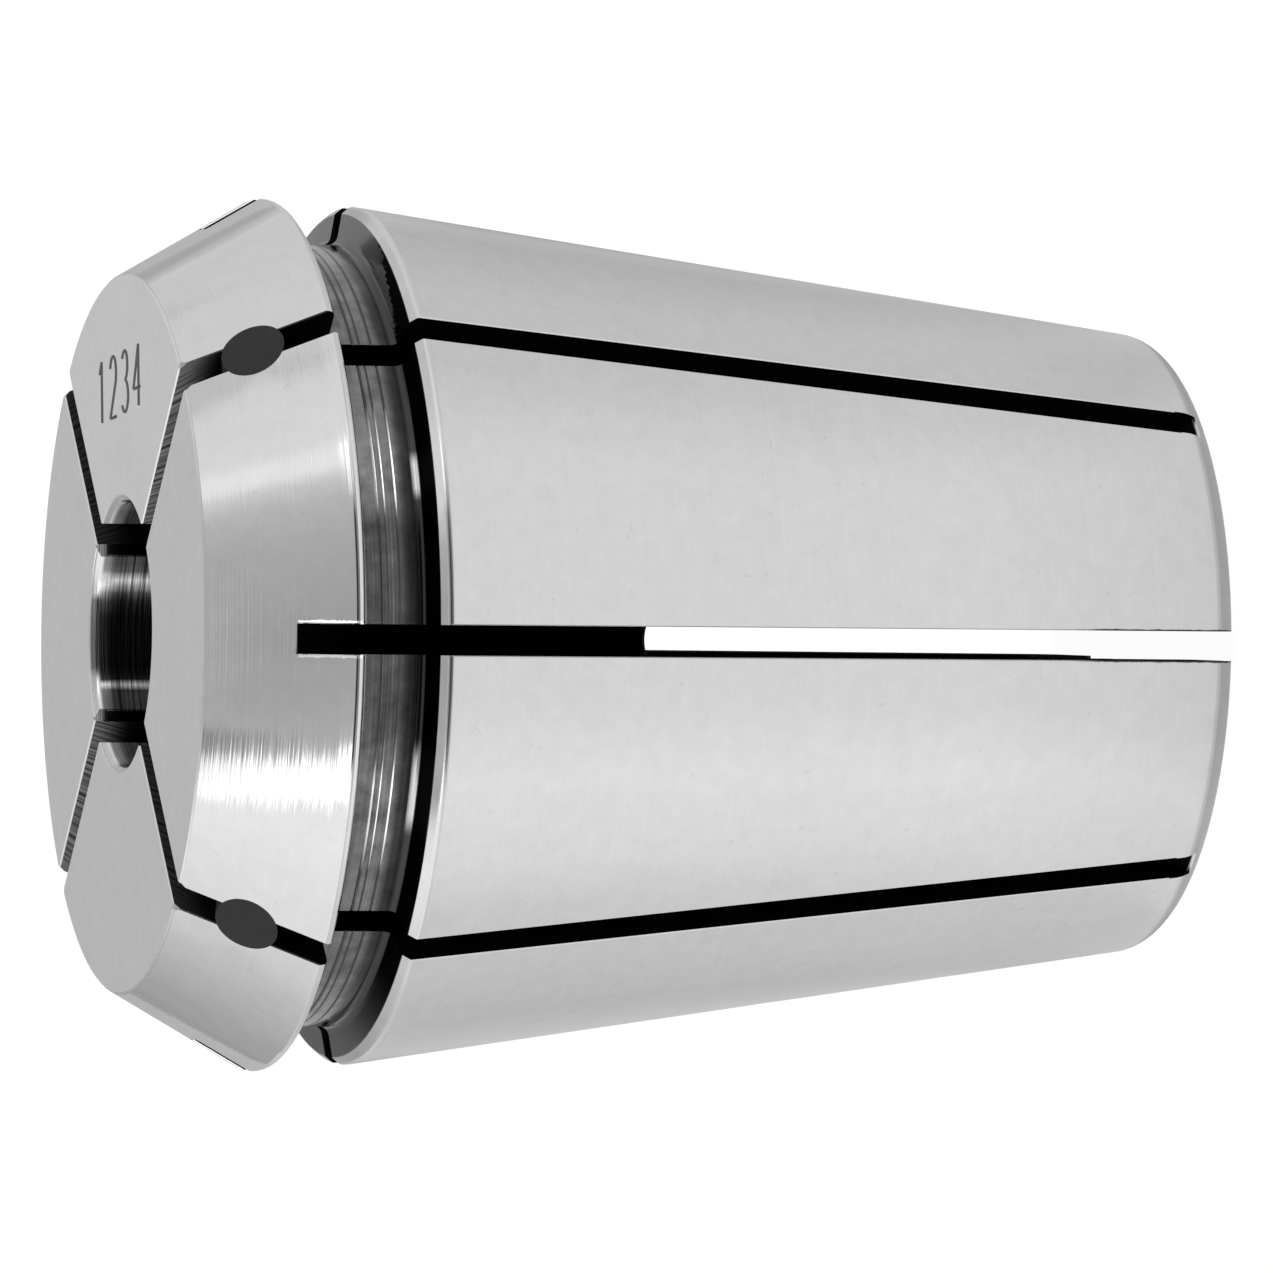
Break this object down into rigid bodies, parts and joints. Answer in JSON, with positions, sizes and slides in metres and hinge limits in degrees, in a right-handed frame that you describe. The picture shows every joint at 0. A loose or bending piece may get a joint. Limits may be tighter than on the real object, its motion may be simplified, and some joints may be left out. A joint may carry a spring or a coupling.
{
  "type": "er collet",
  "caption": "Tapering spring collet, sawn from both ends, with a nut groove behind its nose cone, a round shank bore that ends in a square drive, and plugs in its front slots.",
  "frame": {"origin": "centre of the small end face, on the axis: the collet stands on that face", "axes": "+Z along the axis, from the small end towards the nose; +X, -X, +Y and -Y each run through the middle of a slot that is open at the small end, and the front slots lie halfway between them"},
  "size_m": [0.0326, 0.0326, 0.04],
  "materials": {
    "steel": "hardened steel, ground and polished, with a turned groove and sawn slots",
    "seal": "matt black moulded rubber"
  },
  "bodies": {
    "root": {"collet_body": "steel", "sealing_plug_1": "seal", "sealing_plug_2": "seal", "sealing_plug_3": "seal", "sealing_plug_4": "seal"}
  },
  "joints": []
}
